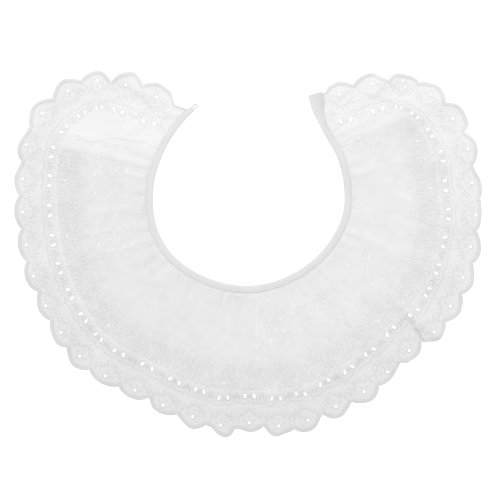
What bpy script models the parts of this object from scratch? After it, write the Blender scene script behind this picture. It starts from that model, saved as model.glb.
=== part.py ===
# Lace collar laid flat, face up: a gathered frill of scalloped eyelet lace over a
# plain under layer, both sewn to a narrow neck binding that ends in a thread loop.
# Lengths in the tables are millimetres and angles are degrees about the neck's
# centre, counted from +X towards +Y; the back opening faces +Y and +Z is up.

import math

import bpy
import numpy as np
from mathutils import Vector
from mathutils.geometry import delaunay_2d_cdt

MM = 0.001

# Driving sizes of the collar, in millimetres.
NECK_CENTRE = np.array([-0.5, 49.4])
SEAM_GAP = 0.3
CLOTH = 1.0
SCALLOPS = 37
VALLEY_REACH = 1.8
TIP_REACH = 6.5
END_REACH = 2.2
END_REACH_SCALLOPS = 4.5
LACE_STEP = 0.7
SATIN_WIDTH = 2.8
SATIN_STEP = 0.9
SATIN_RISE = 0.4
BINDING_WIDTH = 5.4
BINDING_HEIGHT = 2.6
LEFT_END_WIDTH = 4.4
RIGHT_END_WIDTH = 8.6
RIGHT_END_LEAN = 4.4
LEFT_FLARE = 12.0
RIGHT_FLARE = 20.0
FRILL_END = 2.4
LEAF_EYELET_LENGTH = 4.4
LEAF_EYELET_WIDTH = 2.5
LEAF_EYELET_DEPTH = 21.0
LEAF_EYELET_SPREAD = 0.17
LEAF_EYELET_LEAN = 24.0
GATHERS = 38
GATHER_RISE = 1.0
GATHER_LENGTH = 30.0
LOOP_LENGTH = 7.0
LOOP_WIDTH = 3.6
LOOP_THREAD = 1.1

# Inner edge of the neck binding, from the left end round the front to the right end.
NECK_COLUMNS = ("angle", "reach")
NECK_SECTIONS = [
    (125.2, 73.5),
    (140.0, 71.9),
    (155.0, 71.5),
    (170.0, 72.6),
    (186.0, 74.5),
    (202.0, 77.0),
    (217.0, 78.1),
    (241.0, 76.4),
    (270.0, 75.4),
    (300.0, 74.4),
    (330.0, 75.3),
    (345.0, 75.8),
    (361.0, 74.2),
    (380.0, 72.9),
    (396.0, 72.6),
    (405.0, 75.2),
    (411.0, 78.6),
    (417.2, 85.6),
]

# Line of the lace's outer eyelets; whole scallop numbers are the valleys between scallops.
HEM_COLUMNS = ("scallop", "angle", "reach")
HEM_SECTIONS = [
    (0.0, 131.0, 92.0),
    (0.5, 135.0, 101.0),
    (1.5, 139.8, 124.7),
    (2.5, 144.5, 144.7),
    (3.5, 151.6, 159.5),
    (4.5, 159.9, 170.5),
    (5.5, 168.8, 174.2),
    (7.5, 185.9, 176.2),
    (9.5, 202.2, 180.0),
    (11.5, 217.5, 183.5),
    (12.5, 224.8, 184.8),
    (14.5, 240.6, 179.6),
    (16.5, 256.2, 182.2),
    (18.5, 270.2, 181.8),
    (20.5, 284.4, 183.4),
    (22.5, 299.6, 180.2),
    (24.5, 314.8, 176.8),
    (26.5, 329.8, 181.4),
    (28.5, 345.4, 178.2),
    (30.5, 361.6, 173.7),
    (32.5, 379.0, 167.8),
    (33.5, 387.4, 159.6),
    (34.5, 395.0, 146.2),
    (35.5, 400.5, 125.2),
    (36.5, 406.0, 101.8),
    (37.0, 410.0, 95.0),
]

# How far the under layer's edge lies inside the line of outer eyelets.
UNDER_COLUMNS = ("angle", "inset")
UNDER_SECTIONS = [
    (167.0, 25.0),
    (190.0, 27.0),
    (240.0, 25.5),
    (290.0, 25.0),
    (340.0, 25.5),
    (365.0, 27.0),
    (390.0, 26.0),
]
UNDER_LEFT_END = 167.5
UNDER_RIGHT_NECK = 383.4
UNDER_RIGHT_HEM = 384.5
UNDER_RIGHT_REACHES = (80.0, 135.0)
UNDER_SLOPE = 8.0

# Ruffle waves of the frill: place of the crest along the hem, how far its two flanks
# run (all three in scallops), its rise at the hem, where it starts between the neck
# (0) and the hem (1), and how far it pushes the hem outwards.
WAVE_COLUMNS = ("place", "before", "after", "rise", "start", "push")
RUFFLE_WAVES = [
    (1.2, 0.9, 0.9, 2.0, 0.30, 0.0),
    (3.1, 1.0, 0.9, 1.6, 0.20, 0.0),
    (5.3, 1.0, 1.1, 2.6, 0.15, 1.8),
    (7.3, 0.9, 0.9, 1.8, 0.35, 0.0),
    (9.4, 1.1, 1.0, 2.9, 0.10, 0.0),
    (11.6, 1.0, 0.9, 2.2, 0.30, 0.0),
    (13.3, 0.8, 1.0, 3.2, 0.15, 0.6),
    (15.3, 1.0, 0.9, 2.4, 0.25, 0.0),
    (17.4, 0.9, 0.7, 4.2, 0.12, 2.6),
    (18.9, 0.5, 0.5, 1.4, 0.00, 0.0),
    (19.5, 0.6, 0.7, 4.0, 0.20, 2.8),
    (20.7, 0.6, 0.9, 3.2, 0.25, 3.0),
    (22.3, 0.7, 0.9, 2.0, 0.10, 1.2),
    (24.0, 0.9, 0.7, 3.0, 0.05, 1.2),
    (25.5, 0.35, 1.1, 4.8, 0.35, 2.8),
    (27.4, 0.8, 0.9, 2.6, 0.00, 0.0),
    (29.4, 1.0, 1.0, 3.0, 0.20, 1.4),
    (31.4, 0.9, 1.0, 2.2, 0.05, 1.6),
    (33.2, 0.8, 0.9, 2.6, 0.25, 0.0),
    (35.0, 0.8, 0.9, 1.8, 0.20, 1.0),
    (36.4, 0.5, 0.6, 1.4, 0.35, 0.0),
]

# Where scallops reach out more or less than their neighbours, as they do on ruffled lace:
# place along the hem, how far the change runs before and after it, and the reach added.
REACH_COLUMNS = ("place", "before", "after", "reach")
SCALLOP_REACHES = [
    (0.65, 0.50, 0.60, 2.2),
    (1.40, 0.50, 0.45, 3.2),
    (2.00, 0.25, 0.40, -3.2),
    (3.50, 0.50, 0.50, 2.4),
    (4.45, 0.50, 0.50, 2.4),
    (5.20, 0.25, 0.55, -2.2),
    (6.15, 0.25, 0.35, -1.4),
    (10.10, 0.40, 0.50, -1.2),
    (11.80, 0.50, 0.40, 1.8),
    (12.55, 0.55, 0.60, 2.4),
    (14.20, 0.80, 0.50, 0.9),
    (15.00, 0.30, 0.30, -2.2),
    (16.60, 0.50, 0.50, 2.9),
    (17.20, 0.25, 0.25, -2.0),
    (17.85, 0.55, 0.35, 5.2),
    (18.60, 0.40, 0.50, 0.8),
    (19.25, 0.30, 0.50, 2.2),
    (20.15, 0.60, 0.60, 4.6),
    (20.95, 0.35, 0.30, -3.2),
    (21.50, 0.45, 0.45, 2.5),
    (22.70, 0.70, 0.80, 3.1),
    (23.80, 0.50, 0.45, -2.4),
    (24.70, 0.50, 0.30, 1.4),
    (25.30, 0.30, 0.40, 1.2),
    (26.50, 0.60, 0.70, 2.6),
    (27.30, 0.60, 0.70, 2.6),
    (28.20, 0.70, 0.80, 2.6),
    (29.45, 0.60, 0.55, -2.1),
    (30.05, 0.30, 0.60, 2.0),
    (30.85, 0.30, 0.30, -1.4),
    (31.60, 0.40, 0.30, 0.9),
    (32.15, 0.20, 0.50, 3.7),
    (32.65, 0.50, 0.45, 3.7),
    (33.40, 0.50, 0.50, 1.6),
    (34.55, 0.60, 0.60, -2.6),
    (35.10, 0.40, 0.35, -3.6),
    (36.40, 0.40, 0.35, 1.2),
]


def column(table, names, name):
    """One named column of a table, as numbers."""
    return np.array([row[names.index(name)] for row in table])


def smooth(where, places, values):
    """Value of a smooth curve through the table's rows, at the given places."""
    slopes = np.gradient(values, places)
    i = np.clip(np.searchsorted(places, where, side="right") - 1, 0, len(places) - 2)
    span = places[i + 1] - places[i]
    t = np.clip((where - places[i]) / span, 0.0, 1.0)
    low = (1 + 2 * t) * (1 - t) ** 2 * values[i] + t * (1 - t) ** 2 * span * slopes[i]
    high = t * t * (3 - 2 * t) * values[i + 1] + t * t * (t - 1) * span * slopes[i + 1]
    return low + high


def ease(t):
    """Soft step from 0 to 1."""
    t = np.clip(t, 0.0, 1.0)
    return t * t * (3 - 2 * t)


def neck_reach(angle):
    return smooth(angle, column(NECK_SECTIONS, NECK_COLUMNS, "angle"),
                  column(NECK_SECTIONS, NECK_COLUMNS, "reach"))


def binding_width(angle):
    """Width of the binding: even round the neck, turned in or folded over at its ends."""
    neck = column(NECK_SECTIONS, NECK_COLUMNS, "angle")
    left = 1 - ease((angle - neck[0]) / LEFT_FLARE)
    right = 1 - ease((neck[-1] - angle) / RIGHT_FLARE)
    return (BINDING_WIDTH + (LEFT_END_WIDTH - BINDING_WIDTH) * left
            + (RIGHT_END_WIDTH - BINDING_WIDTH) * right)


def at(angle, reach):
    """Plan points at an angle and reach from the neck's centre."""
    turn = np.radians(angle)
    return NECK_CENTRE + np.stack([np.cos(turn), np.sin(turn)], -1) * np.asarray(reach)[..., None]


def polar(points):
    """Angle and reach of plan points, with the angle running on from the left end."""
    arm = points - NECK_CENTRE
    angle = np.degrees(np.arctan2(arm[..., 1], arm[..., 0])) % 360
    return np.where(angle < 95.0, angle + 360, angle), np.hypot(arm[..., 0], arm[..., 1])


def binding_point(angle, across, clearance=0.0):
    """Plan point on the binding, from its inner (0) to its outer (1) edge or past it."""
    last = NECK_SECTIONS[-1][NECK_COLUMNS.index("angle")]
    lean = RIGHT_END_LEAN * (1 - ease((last - angle) / RIGHT_FLARE))
    return at(angle - lean * across, neck_reach(angle) + across * binding_width(angle) + clearance)


def bell(scallop, place, before, after):
    """Soft hump along the hem: 1 at its place and 0 past its two flanks."""
    x = (scallop - place) / np.where(scallop < place, before, after)
    return np.where(np.abs(x) < 1, np.cos(0.5 * math.pi * np.clip(x, -1, 1)) ** 2, 0.0)


def wave_bells(scallop):
    """How much of each ruffle wave is felt at a place along the hem, 0 to 1."""
    return [bell(scallop, *wave[:3]) for wave in RUFFLE_WAVES]


def calm_hem_line(scallop):
    """Angle and reach of the line of outer eyelets before the waves push it."""
    rows = column(HEM_SECTIONS, HEM_COLUMNS, "scallop")
    return (smooth(scallop, rows, column(HEM_SECTIONS, HEM_COLUMNS, "angle")),
            smooth(scallop, rows, column(HEM_SECTIONS, HEM_COLUMNS, "reach")))


def hem_line(scallop):
    """Angle and reach of the line of outer eyelets, with each wave's push."""
    angle, reach = calm_hem_line(scallop)
    for bell, wave in zip(wave_bells(scallop), RUFFLE_WAVES):
        reach = reach + bell * wave[WAVE_COLUMNS.index("push")]
    return angle, reach


def lace_point(scallop, depth):
    """Plan point of the lace strip: a place along the hem and a depth in from its eyelets."""
    ends = np.clip([scallop - LACE_STEP, scallop + LACE_STEP], 0.0, SCALLOPS)
    along = at(*calm_hem_line(ends[1])) - at(*calm_hem_line(ends[0]))
    along = along / np.hypot(along[..., 0], along[..., 1])[..., None]
    inwards = np.stack([-along[..., 1], along[..., 0]], -1)
    return at(*hem_line(scallop)) + inwards * np.asarray(depth)[..., None]


def scallop_at(angle):
    """Place along the hem that faces an angle."""
    rows = np.linspace(0.0, SCALLOPS, 40 * SCALLOPS)
    return np.interp(angle, calm_hem_line(rows)[0], rows)


def under_edge(angle):
    """Reach of the under layer's hem."""
    inset = smooth(angle, column(UNDER_SECTIONS, UNDER_COLUMNS, "angle"),
                   column(UNDER_SECTIONS, UNDER_COLUMNS, "inset"))
    return calm_hem_line(scallop_at(angle))[1] - inset


def under_right_end(reach):
    """Angle of the under layer's right end, which leans a little."""
    return np.interp(reach, UNDER_RIGHT_REACHES, (UNDER_RIGHT_NECK, UNDER_RIGHT_HEM))


def over_under_layer(angle, reach):
    """1 where the frill lies on the under layer, falling softly to 0 beyond its edges."""
    arc = np.radians(1.0) * reach
    outside = np.maximum.reduce([
        reach - under_edge(angle),
        (UNDER_LEFT_END - angle) * arc,
        (angle - under_right_end(reach)) * arc,
    ])
    return 1 - ease((outside - 1.0) / UNDER_SLOPE)


def frill_underside(points):
    """Height of the frill's lower face: the layer below, the gathers and the waves."""
    angle, reach = polar(points)
    scallop = scallop_at(angle)
    neck = neck_reach(angle) + binding_width(angle)
    hem = hem_line(scallop)[1]
    v = np.clip((reach - neck) / (hem - neck), 0.0, 1.2)
    height = (CLOTH + SEAM_GAP) * over_under_layer(angle, reach)
    for bell, wave in zip(wave_bells(scallop), RUFFLE_WAVES):
        rise = wave[WAVE_COLUMNS.index("rise")]
        start = wave[WAVE_COLUMNS.index("start")]
        height = height + bell * rise * ease((v - start) / (1.05 - start))
    ends = column(NECK_SECTIONS, NECK_COLUMNS, "angle")
    turn = (angle - ends[0]) / (ends[-1] - ends[0])
    phase = GATHERS * turn + 0.22 * np.sin(41.0 * turn) + 0.15 * np.sin(97.0 * turn)
    fade = 1 - ease((reach - neck) / (GATHER_LENGTH * (0.75 + 0.35 * np.sin(63.0 * turn))))
    return height + GATHER_RISE * (0.5 - 0.5 * np.cos(2 * math.pi * phase)) * fade


def frill_topside(points):
    """Height of the frill's upper face, one cloth thickness square to the lower one."""
    step = 0.25
    low = frill_underside(points)
    slope_x = (frill_underside(points + [step, 0.0]) - low) / step
    slope_y = (frill_underside(points + [0.0, step]) - low) / step
    return low + CLOTH * np.minimum(np.sqrt(1 + slope_x ** 2 + slope_y ** 2), 1.6)


def scalloped_edge(inset, corners):
    """The scalloped hem, or a line a given distance inside it, corners points a scallop."""
    place = np.linspace(0.0, SCALLOPS, SCALLOPS * corners + 1)
    x = 2 * (place % 1.0) - 1
    x = np.sign(x) * np.abs(x) ** 0.85
    lobe = (1 - np.abs(x) ** 2.2) ** 0.7
    from_end = np.minimum(place, SCALLOPS - place)
    out = VALLEY_REACH + (TIP_REACH - VALLEY_REACH) * lobe
    out = out + END_REACH * (1 - ease(from_end / END_REACH_SCALLOPS))
    for middle, before, after, reach in SCALLOP_REACHES:
        out = out + reach * bell(place, middle, before, after)
    return lace_point(place, -out + inset)


def leaf_eyelets():
    """Outlines of the pairs of leaf-shaped eyelets, a pair to each scallop."""
    half_long, half_wide = LEAF_EYELET_LENGTH / 2, LEAF_EYELET_WIDTH / 2
    leaf = [(-half_long, 0.0), (-0.4 * half_long, -half_wide), (0.45 * half_long, -0.85 * half_wide),
            (half_long, 0.0), (0.45 * half_long, 0.85 * half_wide), (-0.4 * half_long, half_wide)]
    loops = []
    for number in range(SCALLOPS):
        for side in (-1, 1):
            place = np.array([number + 0.5 + side * LEAF_EYELET_SPREAD])
            centre = lace_point(place, np.array([LEAF_EYELET_DEPTH]))[0]
            outer = lace_point(place, np.array([0.0]))[0]
            way = (centre - outer) / np.hypot(*(centre - outer))
            lean = math.radians(LEAF_EYELET_LEAN) * side
            long_way = np.array([way[0] * math.cos(lean) - way[1] * math.sin(lean),
                                 way[0] * math.sin(lean) + way[1] * math.cos(lean)])
            wide_way = np.array([-long_way[1], long_way[0]])
            loops.append(np.array([centre + a * long_way + b * wide_way for a, b in leaf]))
    return loops


def inside(points, loop):
    """Which plan points lie inside a closed loop."""
    found = np.zeros(len(points), bool)
    for a, b in zip(loop, np.roll(loop, -1, axis=0)):
        crosses = (a[1] > points[:, 1]) != (b[1] > points[:, 1])
        if a[1] != b[1]:
            x = a[0] + (points[:, 1] - a[1]) / (b[1] - a[1]) * (b[0] - a[0])
            found ^= crosses & (points[:, 0] < x)
    return found


def clear_of(points, others, distance):
    """The points that lie at least a distance away from all the others."""
    gaps = np.hypot(points[:, None, 0] - others[None, :, 0], points[:, None, 1] - others[None, :, 1])
    return points[gaps.min(axis=1) >= distance]


def triangulate(outline, holes, inner):
    """Triangles that fill a plan outline, leaving its holes open."""
    loops = [outline] + holes
    edges = []
    first = 0
    for loop in loops:
        edges += [(first + i, first + (i + 1) % len(loop)) for i in range(len(loop))]
        first += len(loop)
    points = np.vstack(loops + [inner])
    flat, _, faces, _, _, _ = delaunay_2d_cdt([Vector(p) for p in points], edges, [], 0, 1e-5)
    flat = np.array([(p.x, p.y) for p in flat])
    faces = np.array(faces)
    centres = flat[faces].mean(axis=1)
    keep = inside(centres, outline)
    for hole in holes:
        keep &= ~inside(centres, hole)
    faces = faces[keep]
    a, b, c = flat[faces[:, 0]], flat[faces[:, 1]], flat[faces[:, 2]]
    turns = (b[:, 0] - a[:, 0]) * (c[:, 1] - a[:, 1]) - (b[:, 1] - a[:, 1]) * (c[:, 0] - a[:, 0])
    faces[turns < 0] = faces[turns < 0][:, ::-1]
    used = np.unique(faces)
    renumber = np.zeros(len(flat), int)
    renumber[used] = np.arange(len(used))
    return flat[used], renumber[faces]


def cloth_material(name, colour, roughness):
    material = bpy.data.materials.new(name)
    material.use_nodes = True
    shader = material.node_tree.nodes["Principled BSDF"]
    shader.inputs["Base Color"].default_value = (*colour, 1.0)
    shader.inputs["Roughness"].default_value = roughness
    shader.inputs["Metallic"].default_value = 0.0
    return material


def add_object(name, vertices, faces, material):
    """A mesh object with its points given in millimetres."""
    mesh = bpy.data.meshes.new(name)
    mesh.from_pydata((np.asarray(vertices) * MM).tolist(), [], [list(map(int, f)) for f in faces])
    mesh.materials.append(material)
    mesh.update()
    mesh.shade_smooth()
    mesh.set_sharp_from_angle(angle=math.radians(40))
    piece = bpy.data.objects.new(name, mesh)
    bpy.context.scene.collection.objects.link(piece)
    return piece


def cloth_wall(name, flat, faces, low, high, material):
    """A closed wall of cloth between a lower and an upper height over one plan."""
    count = len(flat)
    vertices = np.vstack([np.c_[flat, low], np.c_[flat, high]])
    sides = {}
    for a, b, c in faces:
        for edge in ((a, b), (b, c), (c, a)):
            sides[edge] = True
    rim = [(a, b) for a, b in sides if (b, a) not in sides]
    walls = [tuple(f[::-1]) for f in faces] + [tuple(f + count) for f in faces]
    walls += [(a, b, b + count, a + count) for a, b in rim]
    return add_object(name, vertices, walls, material)


def field_points(first_angle, last_angle, inner, outer, pitch):
    """Evenly spread plan points between an inner and an outer edge, row by row."""
    rows = []
    depth = 0.0
    while depth < 140.0:
        angle = np.linspace(first_angle, last_angle, 2000)
        reach = inner(angle) + depth
        track = at(angle, reach)
        run = np.r_[0.0, np.cumsum(np.hypot(*np.diff(track, axis=0).T))]
        count = max(4, int(run[-1] / pitch))
        shift = 0.5 if len(rows) % 2 else 0.0
        picks = (np.arange(count) + shift + 0.25) / count * run[-1]
        angles = np.interp(picks, run, angle)
        reaches = inner(angles) + depth
        near = reaches < outer(angles)
        rows.append(at(angles[near], reaches[near]))
        depth += 0.86 * pitch
    return np.vstack(rows)


def frill_neck_edge(clearance):
    """The frill's edge along the binding, with four points to each gather."""
    ends = column(NECK_SECTIONS, NECK_COLUMNS, "angle")
    angle = np.linspace(ends[0] + FRILL_END, ends[-1], 4 * GATHERS + 1)
    return binding_point(angle, 1.0, clearance)


def make_eyelet_frill():
    hem = scalloped_edge(0.0, 6)
    neck = frill_neck_edge(SEAM_GAP)[::-1]
    left_end = [at(129.6, 82.0), at(131.3, 86.6)]
    right_end = [at(411.4, 95.6)]
    outline = np.vstack([hem, right_end, neck, left_end])
    satin = [scalloped_edge(SATIN_WIDTH, 4), scalloped_edge(SATIN_WIDTH + SATIN_STEP, 4)]
    satin = [ring[1:-1] for ring in satin]
    leaves = leaf_eyelets()
    gathers = np.vstack([at(*polar_outwards(neck, depth)) for depth in (6.0, 14.0)])
    fixed = np.vstack([outline] + satin + leaves + [gathers])
    spread = field_points(127.0, 415.0, lambda a: neck_reach(a) + binding_width(a) + 22.0,
                          lambda a: hem_line(scallop_at(a))[1], 9.0)
    spread = clear_of(spread, fixed, 4.2)
    gathers = clear_of(gathers, np.vstack([outline] + satin + leaves), 3.0)
    inner = np.vstack(satin + [gathers, spread])
    inner = inner[inside(inner, outline)]
    flat, faces = triangulate(outline, leaves, inner)
    raised = np.vstack([hem, satin[0]])
    on_satin = np.hypot(flat[:, None, 0] - raised[None, :, 0],
                        flat[:, None, 1] - raised[None, :, 1]).min(axis=1) < 0.01
    high = frill_topside(flat) + SATIN_RISE * on_satin
    material = cloth_material("eyelet_lace", (0.88, 0.88, 0.88), 0.85)
    return cloth_wall("eyelet_frill", flat, faces, frill_underside(flat), high, material)


def polar_outwards(points, distance):
    """Angle and reach of points moved straight out from the neck."""
    angle, reach = polar(points)
    return angle, reach + distance


def make_under_layer():
    outer_angle = np.linspace(UNDER_LEFT_END, UNDER_RIGHT_HEM, 58)
    outer_reach = under_edge(outer_angle)
    neck_angle = np.linspace(UNDER_RIGHT_NECK, UNDER_LEFT_END, 76)
    neck = neck_reach(neck_angle) + binding_width(neck_angle) + SEAM_GAP
    outline = np.vstack([at(outer_angle, outer_reach), at(neck_angle, neck)])
    spread = field_points(UNDER_LEFT_END + 3, UNDER_RIGHT_NECK - 3,
                          lambda a: neck_reach(a) + binding_width(a) + 12.0,
                          lambda a: under_edge(a) - 8.0, 24.0)
    flat, faces = triangulate(outline, [], spread)
    level = np.zeros(len(flat))
    material = cloth_material("voile", (0.84, 0.84, 0.84), 0.85)
    return cloth_wall("under_layer", flat, faces, level, level + CLOTH, material)


def make_neck_binding():
    """A folded strip standing on the surface, its section carried round the neck."""
    ends = column(NECK_SECTIONS, NECK_COLUMNS, "angle")
    angles = np.linspace(ends[0], ends[-1], 84)
    across = np.array([0.0, 1.0, 1.0, 0.9, 0.5, 0.1, 0.0])
    height = np.array([0.0, 0.0, 0.62, 0.92, 1.0, 0.92, 0.62]) * BINDING_HEIGHT
    rings = []
    for angle in angles:
        rings.append(np.c_[binding_point(angle, across), height])
    sides = len(across)
    faces = []
    for i in range(len(angles) - 1):
        for j in range(sides):
            a, b = i * sides + j, i * sides + (j + 1) % sides
            faces.append((a, a + sides, b + sides, b))
    last = (len(angles) - 1) * sides
    faces.append(tuple(range(sides)))
    faces.append(tuple(last + j for j in range(sides))[::-1])
    material = cloth_material("binding_cloth", (0.80, 0.80, 0.80), 0.8)
    return add_object("neck_binding", np.vstack(rings), faces, material)


def make_button_loop():
    """A worked thread loop: a long bend whose two feet meet the binding's left end."""
    start = column(NECK_SECTIONS, NECK_COLUMNS, "angle")[0]
    foot = at(start, neck_reach(start) + 0.5 * LEFT_END_WIDTH)
    tail = at(start + 4.0, neck_reach(start + 4.0) + 0.5 * LEFT_END_WIDTH)
    out = (foot - tail) / np.hypot(*(foot - tail))
    side = np.array([-out[1], out[0]])
    half = (LOOP_WIDTH - LOOP_THREAD) / 2
    straight = LOOP_LENGTH - LOOP_WIDTH
    path = [(0.0, -half * 0.55), (0.35 * straight, -half * 0.9), (straight, -half)]
    path += [(straight + half * math.sin(a), -half * math.cos(a))
             for a in np.linspace(0.0, math.pi, 9)[1:-1]]
    path += [(straight, half), (0.35 * straight, half * 0.9), (0.0, half * 0.55)]
    clear = 0.5 * LOOP_THREAD * 0.2 + SEAM_GAP
    height = 0.5 * BINDING_HEIGHT
    curve = bpy.data.curves.new("button_loop", "CURVE")
    curve.dimensions = "3D"
    spline = curve.splines.new("POLY")
    spline.points.add(len(path) - 1)
    for point, (along, across) in zip(spline.points, path):
        plan = (foot + (along + clear) * out + across * side) * MM
        point.co = (plan[0], plan[1], height * MM, 1.0)
    curve.bevel_depth = 0.5 * LOOP_THREAD * MM
    curve.bevel_resolution = 2
    curve.use_fill_caps = True
    curve.materials.append(cloth_material("loop_thread", (0.78, 0.78, 0.78), 0.7))
    piece = bpy.data.objects.new("button_loop", curve)
    bpy.context.scene.collection.objects.link(piece)
    return piece


def main():
    for old in list(bpy.data.objects):
        bpy.data.objects.remove(old, do_unlink=True)
    make_under_layer()
    make_eyelet_frill()
    make_neck_binding()
    make_button_loop()


main()
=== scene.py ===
import math

import bpy
import numpy as np
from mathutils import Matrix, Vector
from mathutils.geometry import delaunay_2d_cdt


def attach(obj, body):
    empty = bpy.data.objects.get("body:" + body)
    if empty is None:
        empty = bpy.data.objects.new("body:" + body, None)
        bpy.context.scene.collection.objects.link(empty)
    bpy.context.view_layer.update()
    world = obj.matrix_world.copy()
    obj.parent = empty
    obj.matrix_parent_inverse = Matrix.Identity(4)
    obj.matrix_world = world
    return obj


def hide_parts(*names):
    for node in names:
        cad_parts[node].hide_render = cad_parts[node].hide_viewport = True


# A lace collar laid flat, face up, dressed over its solids.
# Plan lengths are millimetres and angles are degrees about the neck's centre, counted from +X
# towards +Y. "Lace coordinates" are millimetres along the hem from a scallop's middle and
# millimetres in from its round eyelet, so one repeat of the lace is drawn once and laid 37 times.

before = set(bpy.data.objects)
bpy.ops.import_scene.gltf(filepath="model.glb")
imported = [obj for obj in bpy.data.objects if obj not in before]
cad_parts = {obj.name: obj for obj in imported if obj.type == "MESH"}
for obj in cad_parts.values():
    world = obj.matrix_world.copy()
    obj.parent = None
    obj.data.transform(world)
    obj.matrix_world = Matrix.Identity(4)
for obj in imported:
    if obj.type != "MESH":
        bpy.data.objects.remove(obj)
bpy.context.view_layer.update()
print("frame loaded, with nodes", sorted(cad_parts))

mm = 0.001


def columns(names, rows):       # a table's rows as one array for each named column
    return dict(zip(names.split(), np.array(rows, float).T))


# The collar's driving sizes, the same as those of its solids
collar = {
    "neckCentre": np.array([-0.5, 49.4]),
    "scallops": 37,
    "pitch": 24.7,
    "valleyReach": 1.8,
    "tipReach": 6.5,
    "endReach": 2.2,
    "endScallops": 4.5,
    "laceStep": 0.7,
    "bindingWidth": 5.4,
    "leftEndWidth": 4.4,
    "rightEndWidth": 8.6,
    "rightEndLean": 4.4,
    "leftFlare": 12.0,
    "rightFlare": 20.0,
    "frillEnd": 2.4,
    "layerRise": 1.3,
    "gathers": 38,
    "gatherRise": 1.0,
    "gatherLength": 30.0,
    "underLeft": 167.5,
    "underRightNeck": 383.4,
    "underRightHem": 384.5,
    "underRightReaches": (80.0, 135.0),
    "underSlope": 8.0,
}

# Inner edge of the neck binding
neckLine = columns("angle reach", [
    (125.2, 73.5), (140.0, 71.9), (155.0, 71.5), (170.0, 72.6), (186.0, 74.5), (202.0, 77.0),
    (217.0, 78.1), (241.0, 76.4), (270.0, 75.4), (300.0, 74.4), (330.0, 75.3), (345.0, 75.8),
    (361.0, 74.2), (380.0, 72.9), (396.0, 72.6), (405.0, 75.2), (411.0, 78.6), (417.2, 85.6),
])

# Line of the outer eyelets, before the ruffles push it
hemLine = columns("scallop angle reach", [
    (0.0, 131.0, 92.0), (0.5, 135.0, 101.0), (1.5, 139.8, 124.7), (2.5, 144.5, 144.7),
    (3.5, 151.6, 159.5), (4.5, 159.9, 170.5), (5.5, 168.8, 174.2), (7.5, 185.9, 176.2),
    (9.5, 202.2, 180.0), (11.5, 217.5, 183.5), (12.5, 224.8, 184.8), (14.5, 240.6, 179.6),
    (16.5, 256.2, 182.2), (18.5, 270.2, 181.8), (20.5, 284.4, 183.4), (22.5, 299.6, 180.2),
    (24.5, 314.8, 176.8), (26.5, 329.8, 181.4), (28.5, 345.4, 178.2), (30.5, 361.6, 173.7),
    (32.5, 379.0, 167.8), (33.5, 387.4, 159.6), (34.5, 395.0, 146.2), (35.5, 400.5, 125.2),
    (36.5, 406.0, 101.8), (37.0, 410.0, 95.0),
])

# How far the under layer's edge lies inside the line of outer eyelets
underLine = columns("angle inset", [
    (167.0, 25.0), (190.0, 27.0), (240.0, 25.5), (290.0, 25.0), (340.0, 25.5), (365.0, 27.0),
    (390.0, 26.0),
])

# Ruffles of the hem: crest, its two flanks in scallops, rise, start from the neck, outward push
ruffles = columns("place before after rise start push", [
    (1.2, 0.9, 0.9, 2.0, 0.30, 0.0), (3.1, 1.0, 0.9, 1.6, 0.20, 0.0),
    (5.3, 1.0, 1.1, 2.6, 0.15, 1.8), (7.3, 0.9, 0.9, 1.8, 0.35, 0.0),
    (9.4, 1.1, 1.0, 2.9, 0.10, 0.0), (11.6, 1.0, 0.9, 2.2, 0.30, 0.0),
    (13.3, 0.8, 1.0, 3.2, 0.15, 0.6), (15.3, 1.0, 0.9, 2.4, 0.25, 0.0),
    (17.4, 0.9, 0.7, 4.2, 0.12, 2.6), (18.9, 0.5, 0.5, 1.4, 0.00, 0.0),
    (19.5, 0.6, 0.7, 4.0, 0.20, 2.8), (20.7, 0.6, 0.9, 3.2, 0.25, 3.0),
    (22.3, 0.7, 0.9, 2.0, 0.10, 1.2), (24.0, 0.9, 0.7, 3.0, 0.05, 1.2),
    (25.5, 0.35, 1.1, 4.8, 0.35, 2.8), (27.4, 0.8, 0.9, 2.6, 0.00, 0.0),
    (29.4, 1.0, 1.0, 3.0, 0.20, 1.4), (31.4, 0.9, 1.0, 2.2, 0.05, 1.6),
    (33.2, 0.8, 0.9, 2.6, 0.25, 0.0), (35.0, 0.8, 0.9, 1.8, 0.20, 1.0),
    (36.4, 0.5, 0.6, 1.4, 0.35, 0.0),
])

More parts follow.
